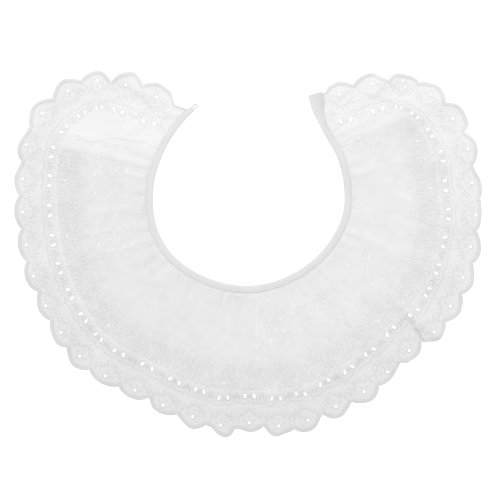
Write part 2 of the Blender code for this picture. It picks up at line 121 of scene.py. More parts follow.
# Where scallops reach out more or less than their neighbours: place, its two flanks, reach added
reaches = columns("place before after reach", [
    (0.65, 0.50, 0.60, 2.2), (1.40, 0.50, 0.45, 3.2), (2.00, 0.25, 0.40, -3.2),
    (3.50, 0.50, 0.50, 2.4), (4.45, 0.50, 0.50, 2.4), (5.20, 0.25, 0.55, -2.2),
    (6.15, 0.25, 0.35, -1.4), (10.10, 0.40, 0.50, -1.2), (11.80, 0.50, 0.40, 1.8),
    (12.55, 0.55, 0.60, 2.4), (14.20, 0.80, 0.50, 0.9), (15.00, 0.30, 0.30, -2.2),
    (16.60, 0.50, 0.50, 2.9), (17.20, 0.25, 0.25, -2.0), (17.85, 0.55, 0.35, 5.2),
    (18.60, 0.40, 0.50, 0.8), (19.25, 0.30, 0.50, 2.2), (20.15, 0.60, 0.60, 4.6),
    (20.95, 0.35, 0.30, -3.2), (21.50, 0.45, 0.45, 2.5), (22.70, 0.70, 0.80, 3.1),
    (23.80, 0.50, 0.45, -2.4), (24.70, 0.50, 0.30, 1.4), (25.30, 0.30, 0.40, 1.2),
    (26.50, 0.60, 0.70, 2.6), (27.30, 0.60, 0.70, 2.6), (28.20, 0.70, 0.80, 2.6),
    (29.45, 0.60, 0.55, -2.1), (30.05, 0.30, 0.60, 2.0), (30.85, 0.30, 0.30, -1.4),
    (31.60, 0.40, 0.30, 0.9), (32.15, 0.20, 0.50, 3.7), (32.65, 0.50, 0.45, 3.7),
    (33.40, 0.50, 0.50, 1.6), (34.55, 0.60, 0.60, -2.6), (35.10, 0.40, 0.35, -3.6),
    (36.40, 0.40, 0.35, 1.2),
])

# Creases pressed into the frill: from, to, half width, rise, and light: a painted highlight along ridges, painted
# shade along troughs
creases = columns("x0 y0 x1 y1 width rise light", [
    (6.9, -34.8, 6.9, -96.9, 1.5, 0.55, 0.034),
    (-16.4, -50.2, -17.2, -65.1, 1.6, 0.40, 0.034),
    (-17.2, -65.1, -28.6, -78.2, 1.7, 0.35, 0.030),
    (-17.2, -65.1, -8.7, -77.2, 1.7, 0.35, 0.030),
    (76.0, 17.3, 117.2, -0.6, 1.9, 0.50, 0.028),
    (104.0, 53.8, 127.3, 38.2, 2.2, 0.45, 0.014),
    (55.1, -13.8, 91.6, -47.2, 2.1, 0.50, 0.014),
    (46.0, -30.0, 57.0, -66.0, 2.4, 0.35, 0.012),
    (33.0, -40.0, 41.0, -84.0, 2.2, 0.35, 0.010),
    (-40.0, -29.0, -62.0, -62.0, 2.6, 0.45, 0.008),
    (-58.0, -12.0, -98.0, -40.0, 2.4, 0.40, 0.008),
    (-76.0, 10.0, -112.0, -2.0, 2.6, 0.35, 0.007),
    (-80.0, 34.0, -126.0, 30.0, 2.8, 0.45, 0.009),
    (-80.0, 58.0, -118.0, 62.0, 2.4, 0.35, 0.008),
    (-77.0, 78.0, -104.0, 92.0, 2.2, 0.35, 0.006),
    (80.0, 60.0, 120.0, 72.0, 2.6, 0.35, 0.006),
    (76.0, 84.0, 104.0, 101.0, 2.2, 0.30, 0.006),
    (80.0, 38.0, 132.0, 22.0, 2.3, -0.30, -0.006),
    (70.0, 6.0, 108.0, -24.0, 2.2, -0.30, -0.006),
    (22.0, -38.0, 26.0, -100.0, 2.4, -0.30, -0.006),
    (-28.0, -34.0, -42.0, -88.0, 2.4, -0.30, -0.006),
    (-68.0, -6.0, -116.0, -26.0, 2.2, -0.30, -0.006),
])


def ease(t):                    # soft step, 3t^2 - 2t^3 between 0 and 1
    t = np.clip(t, 0.0, 1.0)
    return t * t * (3 - 2 * t)


def smooth(where, places, values):      # cubic through the rows, with the rows' own mean slopes
    slopes = np.gradient(values, places)
    i = np.clip(np.searchsorted(places, where, side="right") - 1, 0, len(places) - 2)
    span = places[i + 1] - places[i]
    t = np.clip((where - places[i]) / span, 0.0, 1.0)
    low = (1 + 2 * t) * (1 - t) ** 2 * values[i] + t * (1 - t) ** 2 * span * slopes[i]
    high = t * t * (3 - 2 * t) * values[i + 1] + t * t * (t - 1) * span * slopes[i + 1]
    return low + high


def neckReach(angle):
    return smooth(angle, neckLine["angle"], neckLine["reach"])


def bindingWidth(angle):        # even round the neck, narrowed at the left end, widened at the right
    left = 1 - ease((angle - neckLine["angle"][0]) / collar["leftFlare"])
    right = 1 - ease((neckLine["angle"][-1] - angle) / collar["rightFlare"])
    return (collar["bindingWidth"] + (collar["leftEndWidth"] - collar["bindingWidth"]) * left
            + (collar["rightEndWidth"] - collar["bindingWidth"]) * right)


def at(angle, reach):           # plan point = centre + reach * (cos angle, sin angle)
    turn = np.radians(angle)
    arm = np.stack([np.cos(turn), np.sin(turn)], -1) * np.asarray(reach)[..., None]
    return collar["neckCentre"] + arm


def polar(points):              # the angle and reach of plan points, running on from the left end
    arm = points - collar["neckCentre"]
    angle = np.degrees(np.arctan2(arm[..., 1], arm[..., 0])) % 360
    return np.where(angle < 95.0, angle + 360, angle), np.hypot(arm[..., 0], arm[..., 1])


def bindingPoint(angle, across, clearance=0.0):     # from the binding's inner (0) to outer (1) edge
    lean = collar["rightEndLean"] * (1 - ease((neckLine["angle"][-1] - angle) / collar["rightFlare"]))
    return at(angle - lean * across, neckReach(angle) + across * bindingWidth(angle) + clearance)


def bells(scallop, rows):       # cos^2 bell of each row of a table at a place along the hem
    x = np.asarray(scallop)[..., None] - rows["place"]
    x = x / np.where(x < 0, rows["before"], rows["after"])
    return np.where(np.abs(x) < 1, np.cos(0.5 * math.pi * np.clip(x, -1, 1)) ** 2, 0.0)


def calmHem(scallop):
    return (smooth(scallop, hemLine["scallop"], hemLine["angle"]),
            smooth(scallop, hemLine["scallop"], hemLine["reach"]))


def pushedHem(scallop):
    angle, reach = calmHem(scallop)
    return angle, reach + bells(scallop, ruffles) @ ruffles["push"]


def lacePoint(scallop, depth):  # hem point + depth * the normal of the calm hem line there
    step = collar["laceStep"]
    start = at(*calmHem(np.clip(scallop - step, 0.0, collar["scallops"])))
    along = at(*calmHem(np.clip(scallop + step, 0.0, collar["scallops"]))) - start
    along = along / np.hypot(along[..., 0], along[..., 1])[..., None]
    inwards = np.stack([-along[..., 1], along[..., 0]], -1)
    return at(*pushedHem(scallop)) + inwards * np.asarray(depth)[..., None]


hemPlaces = np.linspace(0.0, collar["scallops"], 40 * collar["scallops"])
hemAngles = calmHem(hemPlaces)[0]


def scallopAt(angle):
    return np.interp(angle, hemAngles, hemPlaces)


def underEdge(angle):
    return calmHem(scallopAt(angle))[1] - smooth(angle, underLine["angle"], underLine["inset"])


def underRightEnd(reach):
    return np.interp(reach, collar["underRightReaches"], (collar["underRightNeck"], collar["underRightHem"]))


def pastUnderLayer(angle, reach):       # distance outside the under layer's edges, negative on it
    arc = np.radians(1.0) * reach
    return np.maximum.reduce([reach - underEdge(angle), (collar["underLeft"] - angle) * arc,
                              (angle - underRightEnd(reach)) * arc])


def overUnderLayer(angle, reach):       # 1 on the under layer, falling softly to 0 past its edges
    return 1 - ease((pastUnderLayer(angle, reach) - 1.0) / collar["underSlope"])


def solidUnderside(points):     # lower face of the frill's solid: layer + gathers + ruffles
    angle, reach = polar(points)
    scallop = scallopAt(angle)
    neck = neckReach(angle) + bindingWidth(angle)
    v = np.clip((reach - neck) / (pushedHem(scallop)[1] - neck), 0.0, 1.2)
    starts = ruffles["start"]
    lift = ease((v[..., None] - starts) / (1.05 - starts))
    height = collar["layerRise"] * overUnderLayer(angle, reach)
    height = height + (bells(scallop, ruffles) * lift) @ ruffles["rise"]
    turn = (angle - neckLine["angle"][0]) / (neckLine["angle"][-1] - neckLine["angle"][0])
    phase = collar["gathers"] * turn + 0.22 * np.sin(41.0 * turn) + 0.15 * np.sin(97.0 * turn)
    length = collar["gatherLength"] * (0.75 + 0.35 * np.sin(63.0 * turn))
    fade = 1 - ease((reach - neck) / length)
    return height + collar["gatherRise"] * (0.5 - 0.5 * np.cos(2 * math.pi * phase)) * fade


def creaseBells(points):        # exp(-(distance / width)^2) of each crease, fading at its two ends
    start = np.stack([creases["x0"], creases["y0"]], -1)
    run = np.stack([creases["x1"], creases["y1"]], -1) - start
    t = ((points[..., None, :] - start) * run).sum(-1) / (run ** 2).sum(-1)
    foot = start + np.clip(t, 0, 1)[..., None] * run
    distance = np.hypot(*np.moveaxis(points[..., None, :] - foot, -1, 0))
    return np.exp(-(distance / creases["width"]) ** 2) * ease((t + 0.15) / 0.3) * ease((1.15 - t) / 0.3)


# How the scene's thin lace departs from the solid's plain form
drape = {
    "base": 0.32,               # middle of the cloth above the solid's lower face
    "puckers": 117,             # fine puckers drawn up by the gathering thread
    "puckerRise": 0.55,
    "puckerLength": 15.0,
    "rippleRise": 0.16,         # soft unevenness all over the cloth
    "seamHeight": 1.45,         # where the gathered edge enters the binding
    "seamRun": 3.2,
    "lipScallop": 25.08,        # the hem doubles over itself just before this place
    "lipLean": 1.3,             # scallops by which the fold leans, from the hem to the neck
    "lipRise": 1.7,
}


def puckers(angle, reach):      # raised cosine round the neck, uneven in pitch, height and length
    turn = (angle - 125.0) / 292.0
    phase = drape["puckers"] * turn + 0.45 * np.sin(31.0 * turn) + 0.3 * np.sin(83.0 * turn + 1.0)
    uneven = 0.6 + 0.25 * np.sin(57.0 * turn + 0.7) + 0.15 * np.sin(141.0 * turn)
    length = drape["puckerLength"] * (0.8 + 0.4 * np.sin(71.0 * turn) + 0.25 * np.sin(173.0 * turn))
    fade = 1 - ease((reach - neckReach(angle) - bindingWidth(angle)) / np.maximum(length, 5.0))
    return drape["puckerRise"] * uneven * (0.5 + 0.5 * np.cos(2 * math.pi * phase)) * fade


def ripples(points):            # a few crossed sine waves, 9 to 30 mm long
    x, y = points[..., 0], points[..., 1]
    wave = np.sin(0.31 * x + 0.9 * np.sin(0.11 * y)) * np.sin(0.27 * y + 0.8 * np.sin(0.13 * x + 1.0))
    wave = wave + 0.7 * np.sin(0.52 * x - 0.33 * y + np.sin(0.17 * x)) + 0.5 * np.sin(0.66 * y + 0.21 * x)
    return drape["rippleRise"] * wave


def pastLip(scallop, v):        # scallops past the leaning fold line, with v from neck (0) to hem (1)
    return scallop - drape["lipScallop"] - drape["lipLean"] * (1 - v)


def overlapLip(scallop, v):     # a sharp rise that dies away behind it, deeper towards the hem
    x = pastLip(scallop, v)
    step = ease(x / 0.07) * (1 - ease((x - 0.07) / 0.32))
    return drape["lipRise"] * step * ease((v - 0.62) / 0.3)


def laceHeight(points):         # middle of the thin lace above the surface that the collar lies on
    angle, reach = polar(points)
    scallop = scallopAt(angle)
    neck = neckReach(angle) + bindingWidth(angle)
    v = np.clip((reach - neck) / (pushedHem(scallop)[1] - neck), 0.0, 1.2)
    height = solidUnderside(points) + puckers(angle, reach) + ripples(points)
    height = height + creaseBells(points) @ creases["rise"] + overlapLip(scallop, v)
    height = drape["base"] + np.maximum(height, 0.0)
    seam = 1 - ease((reach - neck) / drape["seamRun"])
    return height + (drape["seamHeight"] - height) * seam


# How the lace's tone varies. Where it is single: a share all over, one beside the under layer, and painted shade
# on the hem, deepest towards its front, away from the light. On the under layer: painted shade on the field,
# deepest towards the left, and the sprays' band.
shading = {
    "single": 0.065,
    "beside": 0.034,
    "besideWidth": 9.0,
    "hem": 0.105,
    "front": 256.0,             # direction where the hem's painted shade is deepest
    "hemDepth": 19.0,
    "hemFade": 6.0,
    "field": 0.030,
    "side": 205.0,              # direction where the field's painted shade is deepest
    "band": 0.037,
    "bandDepth": 26.0,
    "bandStart": 5.0,
    "bandEnd": 39.0,
    "bandFade": 16.0,
    "edge": 0.045,              # along the under layer's turned hem
    "edgeDepth": 24.6,
    "edgeWidth": 2.0,
    "eased": 0.024,             # what the hem's share loses about its stems
    "easedDepth": 16.5,
    "easedWidth": 3.5,
}


def towards(angle, direction):  # soft cosine: 1 facing a direction, falling to 0 behind
    return np.clip(0.5 + 0.6 * np.cos(np.radians(angle - direction)), 0, 1)


def laceTone(points):           # 1 - the shares of the places that a point is in
    angle, reach = polar(points)
    depth = pushedHem(scallopAt(angle))[1] - reach
    past = pastUnderLayer(angle, reach)
    single = ease(past + 0.5)
    beside = single * (1 - ease((past - shading["besideWidth"]) / 5.0))
    # hem and field: painted shade, deepest on the side that faces away from the light
    hem = towards(angle, shading["front"]) * (1 - ease((depth - shading["hemDepth"]) / shading["hemFade"]))
    field = towards(angle, shading["side"]) * (1 - single)
    band = ease((depth - shading["bandDepth"]) / shading["bandStart"]) * (1 - single)
    band = band * (1 - ease((depth - shading["bandEnd"]) / shading["bandFade"]))
    return (1 - shading["single"] * single - shading["beside"] * beside - shading["hem"] * hem
            - shading["field"] * field - shading["band"] * band
            - shading["edge"] * np.exp(-((depth - shading["edgeDepth"]) / shading["edgeWidth"]) ** 2)
            + shading["eased"] * np.exp(-((depth - shading["easedDepth"]) / shading["easedWidth"]) ** 2))


def scallopCurve(samples):      # hem in lace coordinates: lobe (1 - |x|^2.2)^0.7 over each scallop
    t = np.linspace(-1, 1, samples + 1)[:-1]
    x = np.sin(0.5 * math.pi * t)
    inScallop = 0.5 + 0.5 * np.sign(x) * np.abs(x) ** (1 / 0.85)
    lobe = (1 - np.abs(x) ** 2.2) ** 0.7
    place = (np.arange(collar["scallops"])[:, None] + inScallop).ravel()
    lobe = np.tile(lobe, collar["scallops"])
    place = np.append(place, collar["scallops"])
    lobe = np.append(lobe, 0.0)
    fromEnd = np.minimum(place, collar["scallops"] - place)
    out = collar["valleyReach"] + (collar["tipReach"] - collar["valleyReach"]) * lobe
    out = out + collar["endReach"] * (1 - ease(fromEnd / collar["endScallops"]))
    out = out + bells(place, reaches) @ reaches["reach"]
    return np.stack([place * collar["pitch"], -out], -1)


def insetCurve(curve, inset):   # each point moved square to the curve, into the cloth
    along = np.gradient(curve, axis=0)
    along = along / np.hypot(along[:, 0], along[:, 1])[:, None]
    return curve + np.stack([-along[:, 1], along[:, 0]], -1) * inset


def onPlan(lace):               # lace coordinates, counted along the whole hem, to plan points
    return lacePoint(np.clip(lace[..., 0] / collar["pitch"], 0.0, collar["scallops"]), lace[..., 1])


def onLace(lace, lift):         # lace coordinates to points on the draped lace, lifted off it
    plan = onPlan(lace)
    return np.concatenate([plan, (laceHeight(plan) + lift)[..., None]], -1)


# Mesh helpers
def normalsOf(points, faces):   # sum of the unit-free face normals round each vertex
    a, b, c = (points[faces[:, i]] for i in range(3))
    normal = np.cross(b - a, c - a)
    total = np.zeros_like(points)
    for corner in range(faces.shape[1]):
        np.add.at(total, faces[:, corner], normal)
    return total / np.maximum(np.linalg.norm(total, axis=1), 1e-12)[:, None]


def wallOf(points, faces, thickness):   # a sheet made a closed wall: the middle +- half along the normal
    normal = normalsOf(points, faces)
    count, sides = len(points), faces.shape[1]
    edges = np.concatenate([faces[:, [i, (i + 1) % sides]] for i in range(sides)])
    forward = edges[:, 0].astype(np.int64) * count + edges[:, 1]
    backward = edges[:, 1].astype(np.int64) * count + edges[:, 0]
    rim = edges[~np.isin(forward, backward)]
    both = np.concatenate([points + 0.5 * thickness * normal, points - 0.5 * thickness * normal])
    walls = np.stack([rim[:, 1], rim[:, 0], rim[:, 0] + count, rim[:, 1] + count], -1)
    return both, [faces, faces[:, ::-1] + count, walls]


def gridFaces(rows, cols):      # quads of a rows by cols grid of points
    first = (np.arange(rows - 1)[:, None] * cols + np.arange(cols - 1)).ravel()
    return np.stack([first, first + 1, first + cols + 1, first + cols], -1)


def tubes(coords, closed):      # tubes of shape (copy, ring, around), turned so that faces point out
    copies, rings, around, _ = coords.shape
    middle = coords.mean(axis=(1, 2), keepdims=True)
    p = coords - middle
    q = np.roll(p, -1, axis=2)
    nextP = np.roll(p, -1, axis=1) if closed else p[:, 1:]
    here, beside = (p, q) if closed else (p[:, :-1], q[:, :-1])
    volume = (np.cross(here, beside) * nextP).sum(axis=(1, 2, 3))
    coords = np.where((volume > 0)[:, None, None, None], coords, coords[:, :, ::-1])
    ring = np.arange(rings if closed else rings - 1)[:, None]
    side = np.arange(around)
    a, b = ring * around + side, ring * around + (side + 1) % around
    c, d = (ring + 1) % rings * around + (side + 1) % around, (ring + 1) % rings * around + side
    quads = np.stack([a, b, c, d], -1).reshape(1, -1, 4)
    start = np.arange(copies)[:, None, None] * rings * around
    faces = [(quads + start).reshape(-1, 4)]
    if not closed:
        low = np.arange(around)[::-1][None]
        high = (rings - 1) * around + np.arange(around)[None]
        faces += [(cap[None] + start).reshape(-1, around) for cap in (low, high)]
    return coords.reshape(-1, 3), faces


def addPiece(name, points, faces, material, uv=None, tone=None):
    mesh = bpy.data.meshes.new(name)        # points in millimetres, faces as arrays of equal width
    corners = np.concatenate([f.ravel() for f in faces]).astype(np.int32)
    widths = np.concatenate([np.full(len(f), f.shape[1]) for f in faces])
    starts = np.concatenate([[0], np.cumsum(widths)[:-1]]).astype(np.int32)
    mesh.vertices.add(len(points))
    mesh.vertices.foreach_set("co", (points * mm).astype(np.float32).ravel())
    mesh.loops.add(len(corners))
    mesh.loops.foreach_set("vertex_index", corners)
    mesh.polygons.add(len(widths))
    mesh.polygons.foreach_set("loop_start", starts)
    mesh.update(calc_edges=True)
    if uv is not None:
        layer = mesh.uv_layers.new(name="cloth")
        layer.data.foreach_set("uv", uv[corners].astype(np.float32).ravel())
    # by default the tone is the lace's painted shade at each point
    if tone is None:
        tone = laceTone(points[:, :2])
    mesh.attributes.new("tone", "FLOAT", "POINT").data.foreach_set("value", tone.astype(np.float32))
    mesh.validate()
    mesh.materials.append(material)
    mesh.shade_smooth()
    mesh.set_sharp_from_angle(angle=math.radians(50))
    piece = bpy.data.objects.new(name, mesh)
    bpy.context.scene.collection.objects.link(piece)
    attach(piece, "root")
    triangles = int((widths - 2).sum())
    print(f"{name}: {triangles} triangles, bounds {points.min(0).round(1)} {points.max(0).round(1)}")
    return piece


# Materials
def cloth(name, settings):      # woven or stitched cloth: even colour, blotches, threads as bump
    material = bpy.data.materials.new(name)
    material.use_nodes = True
    nodes, links = material.node_tree.nodes, material.node_tree.links
    shader = nodes["Principled BSDF"]
    shader.inputs["Roughness"].default_value = settings["roughness"]
    shader.inputs["Specular IOR Level"].default_value = settings.get("specular", 0.25)
    shader.inputs["Sheen Weight"].default_value = settings.get("sheen", 0.0)
    shader.inputs["Sheen Roughness"].default_value = 0.5
    shader.inputs["Alpha"].default_value = settings.get("alpha", 1.0)
    uvMap = nodes.new("ShaderNodeUVMap")
    uvMap.uv_map = "cloth"
    position = nodes.new("ShaderNodeTexCoord")
    blotch = nodes.new("ShaderNodeTexNoise")        # uneven weave and wear, in object space
    blotch.inputs["Scale"].default_value = settings.get("blotchScale", 70.0)
    blotch.inputs["Detail"].default_value = 4.0
    links.new(position.outputs["Object"], blotch.inputs["Vector"])
    tint = nodes.new("ShaderNodeMapRange")
    tint.inputs["From Min"].default_value = 0.3
    tint.inputs["From Max"].default_value = 0.7
    tint.inputs["To Min"].default_value = 1 - settings["unevenness"]
    tint.inputs["To Max"].default_value = 1 + settings["unevenness"]
    links.new(blotch.outputs["Fac"], tint.inputs["Value"])
    threads = []
    for direction, scale in zip(("X", "Y"), settings["threads"]):
        if scale:
            wave = nodes.new("ShaderNodeTexWave")   # threads along or across the cloth
            wave.bands_direction = direction
            wave.inputs["Scale"].default_value = scale
            wave.inputs["Distortion"].default_value = settings.get("wander", 0.6)
            wave.inputs["Detail"].default_value = 1.0
            wave.inputs["Detail Scale"].default_value = 0.6
            links.new(uvMap.outputs["UV"], wave.inputs["Vector"])
            threads.append(wave.outputs["Fac"])
    weave = threads[0]
    if len(threads) > 1:
        crossed = nodes.new("ShaderNodeMath")
        crossed.operation = "MAXIMUM"
        links.new(threads[0], crossed.inputs[0])
        links.new(threads[1], crossed.inputs[1])
        weave = crossed.outputs["Value"]
    shade = nodes.new("ShaderNodeMapRange")         # the gaps between threads are a little darker
    shade.inputs["To Min"].default_value = 1 - settings["threadShade"]
    shade.inputs["To Max"].default_value = 1 + 0.3 * settings["threadShade"]
    links.new(weave, shade.inputs["Value"])
    value = nodes.new("ShaderNodeMath")
    value.operation = "MULTIPLY"
    links.new(tint.outputs["Result"], value.inputs[0])
    links.new(shade.outputs["Result"], value.inputs[1])
    level = value.outputs["Value"]
    # the "tone" attribute carries painted shade and painted highlights into the colour
    if settings.get("toned"):
        tone = nodes.new("ShaderNodeAttribute")
        tone.attribute_name = "tone"
        toned = nodes.new("ShaderNodeMath")
        toned.operation = "MULTIPLY"
        links.new(level, toned.inputs[0])
        links.new(tone.outputs["Fac"], toned.inputs[1])
        level = toned.outputs["Value"]
    colour = nodes.new("ShaderNodeVectorMath")
    colour.operation = "SCALE"
    colour.inputs[0].default_value = settings["colour"]
    links.new(level, colour.inputs["Scale"])
    links.new(colour.outputs["Vector"], shader.inputs["Base Color"])
    bump = nodes.new("ShaderNodeBump")
    bump.inputs["Strength"].default_value = settings["bump"]
    bump.inputs["Distance"].default_value = settings["threadHeight"] * mm
    links.new(weave, bump.inputs["Height"])
    fuzz = nodes.new("ShaderNodeTexNoise")          # slubs and loose fibres
    fuzz.inputs["Scale"].default_value = 1400.0
    fuzz.inputs["Detail"].default_value = 3.0
    links.new(position.outputs["Object"], fuzz.inputs["Vector"])
    soft = nodes.new("ShaderNodeBump")
    soft.inputs["Strength"].default_value = 0.12
    soft.inputs["Distance"].default_value = 0.05 * mm
    links.new(fuzz.outputs["Fac"], soft.inputs["Height"])
    links.new(bump.outputs["Normal"], soft.inputs["Normal"])
    links.new(soft.outputs["Normal"], shader.inputs["Normal"])
    return material


# UV maps count centimetres along and across the threads, so a wave scale of 1 is about 3.1 threads a cm
finishes = {
    "eyeletLawn": dict(colour=(0.83, 0.83, 0.83), roughness=0.85, alpha=0.58, unevenness=0.02, toned=True,
                       threads=(9.0, 9.0), threadShade=0.03, bump=0.2, threadHeight=0.08, sheen=0.1),
    "voile": dict(colour=(0.83, 0.83, 0.83), roughness=0.85, alpha=0.48, unevenness=0.015,
                  threads=(10.0, 10.0), threadShade=0.03, bump=0.2, threadHeight=0.06),
    "satinStitch": dict(colour=(0.735, 0.735, 0.735), roughness=0.62, unevenness=0.02, specular=0.3, toned=True,
                        threads=(7.0, 0.0), threadShade=0.06, bump=0.4, threadHeight=0.12, wander=0.3),
    "flatStitch": dict(colour=(0.765, 0.765, 0.765), roughness=0.7, unevenness=0.015, specular=0.25, toned=True,
                       threads=(7.0, 0.0), threadShade=0.04, bump=0.25, threadHeight=0.08, wander=0.3),
    "foldedHem": dict(colour=(0.87, 0.87, 0.87), roughness=0.85, alpha=0.12, unevenness=0.015,
                      threads=(10.0, 10.0), threadShade=0.03, bump=0.2, threadHeight=0.06),
    "hemThread": dict(colour=(0.84, 0.84, 0.84), roughness=0.6, alpha=0.22, unevenness=0.03,
                      threads=(12.0, 0.0), threadShade=0.06, bump=0.3, threadHeight=0.08, wander=0.2),
    "bindingLawn": dict(colour=(0.65, 0.65, 0.65), roughness=0.8, unevenness=0.02, toned=True,
                        threads=(8.0, 8.0), threadShade=0.05, bump=0.3, threadHeight=0.08),
    "bindingThread": dict(colour=(0.72, 0.72, 0.72), roughness=0.6, unevenness=0.02, specular=0.3,
                          threads=(12.0, 0.0), threadShade=0.06, bump=0.4, threadHeight=0.08, wander=0.2),
    "thread": dict(colour=(0.66, 0.66, 0.66), roughness=0.6, unevenness=0.03, specular=0.35,
                   threads=(12.0, 0.0), threadShade=0.12, bump=0.5, threadHeight=0.10, wander=0.2),
}
materials = {name: cloth(name, settings) for name, settings in finishes.items()}
print("materials made")


# Eyelets of one repeat, in lace coordinates
eyelets = {
    "roundRadius": 1.35,
    "leafLength": 4.5,
    "leafWidth": 2.8,
    "leafDepth": 21.0,
    "leafAcross": 4.2,
    "leafLean": 24.0,
    "pinRadius": 0.8,           # those across the left end
    "rim": 0.95,                # width of the overcast rim
    "rimRise": 0.2,
    "rimLift": 0.13,            # its middle above that of the cloth
}


def roundOutline(radius, count):        # circle
    turn = np.linspace(0, 2 * math.pi, count, endpoint=False)
    return np.stack([radius * np.cos(turn), radius * np.sin(turn)], -1)


def leafOutline(length, width, count):  # pointed oval: (cos t, sin t * |sin t|^0.25), blunter outside
    turn = np.linspace(0, 2 * math.pi, count, endpoint=False)
    across = np.sin(turn) * np.abs(np.sin(turn)) ** 0.25 * (1 - 0.12 * np.cos(turn))
    return np.stack([0.5 * width * across, 0.5 * length * np.cos(turn)], -1)


def leaned(outline, degrees):   # turned anticlockwise in lace coordinates
    c, s = math.cos(math.radians(degrees)), math.sin(math.radians(degrees))
    return outline @ np.array([[c, s], [-s, c]])


def leafPair(grow, count):      # both leaf eyelets of a repeat, with the outline grown outwards
    length, width = eyelets["leafLength"] + 2 * grow, eyelets["leafWidth"] + 2 * grow
    pair = [leaned(leafOutline(length, width, count), side * eyelets["leafLean"])
            + (side * eyelets["leafAcross"], eyelets["leafDepth"]) for side in (-1, 1)]
    return np.array(pair)


def repeated(shapes, scallops): # one repeat's shapes set out at each scallop's middle
    middles = (np.asarray(scallops, float) + 0.5) * collar["pitch"]
    shift = np.stack([middles, np.zeros(len(middles))], -1)
    shift = shift.reshape((len(middles),) + (1,) * (shapes.ndim - 1) + (2,))
    return (shapes[None] + shift).reshape((-1,) + shapes.shape[1:])


every = np.arange(collar["scallops"])
# plan points at the left end
linePins = np.array([(-132.7, 88.8), (-122.0, 81.8), (-112.5, 83.6), (-103.2, 84.6), (-94.0, 83.8)])


# The frill: an even spread of plan points, triangulated round its eyelets, then draped
frill = {
    "thickness": 0.28,
    "hemSamples": 20,
    "tuckUnderSatin": 0.35,
    "tuckIntoBinding": 2.4,
    "closeRows": 16.0,          # the first rows from the neck stand closer, for the puckers
    "closePitch": 1.05,
    "openPitch": 1.6,
    "flat": (0.376, 0.296),     # the box of the flat C-shaped cut, its seam allowance included
    "cutArea": 0.0650,
}


def spreadPoints():             # rows of points at even distances from the neck, each row offset by half
    angle = np.linspace(126.0, 416.5, 4000)
    inner = neckReach(angle) + bindingWidth(angle) - frill["tuckIntoBinding"]
    rows, depth, odd = [], 0.6, 0.0
    while depth < 135.0:
        pitch = frill["closePitch"] if depth < frill["closeRows"] else frill["openPitch"]
        track = at(angle, inner + depth)
        run = np.append(0.0, np.cumsum(np.hypot(*np.diff(track, axis=0).T)))
        picks = (np.arange(int(run[-1] / pitch)) + odd) * pitch
        picked = np.interp(picks, run, angle)
        reach = np.interp(picked, angle, inner) + depth
        rows.append(at(picked, reach)[reach < pushedHem(scallopAt(picked))[1] + 9.0])
        depth, odd = depth + 0.87 * pitch, 0.5 - odd
    return np.vstack(rows)


def insideLoop(points, loop):   # even number of crossings of a ray means outside
    found = np.zeros(len(points), bool)
    for a, b in zip(loop, np.roll(loop, -1, axis=0)):
        if a[1] != b[1]:
            crosses = (a[1] > points[:, 1]) != (b[1] > points[:, 1])
            found ^= crosses & (points[:, 0] < a[0] + (points[:, 1] - a[1]) / (b[1] - a[1]) * (b[0] - a[0]))
    return found


def nearest(points, others):    # distance from each point to the nearest of the others
    gaps = np.full(len(points), np.inf)
    for block in np.array_split(others, max(1, len(others) // 400)):
        apart = np.hypot(points[:, None, 0] - block[None, :, 0], points[:, None, 1] - block[None, :, 1])
        gaps = np.minimum(gaps, apart.min(axis=1))
    return gaps


def cutLoops():                 # every eyelet's outline on the plan
    loops = [roundOutline(eyelets["roundRadius"], 16)[None]]
    cut = list(onPlan(repeated(loops[0], every)))
    cut += list(onPlan(repeated(leafPair(0.0, 16), every)))
    return cut + list(linePins[:, None] + roundOutline(eyelets["pinRadius"], 10))


frillEnds = {"left": [at(131.3, 86.6), at(129.6, 82.0)], "right": [at(411.4, 95.6)]}


def frillOutline():
    hem = onPlan(insetCurve(scallopCurve(frill["hemSamples"]), frill["tuckUnderSatin"]))
    angle = np.linspace(neckLine["angle"][0] + collar["frillEnd"], neckLine["angle"][-1] - 0.4, 330)
    neck = bindingPoint(angle, 1.0, -frill["tuckIntoBinding"])[::-1]
    return np.vstack([hem, frillEnds["right"], neck, frillEnds["left"][::-1]])


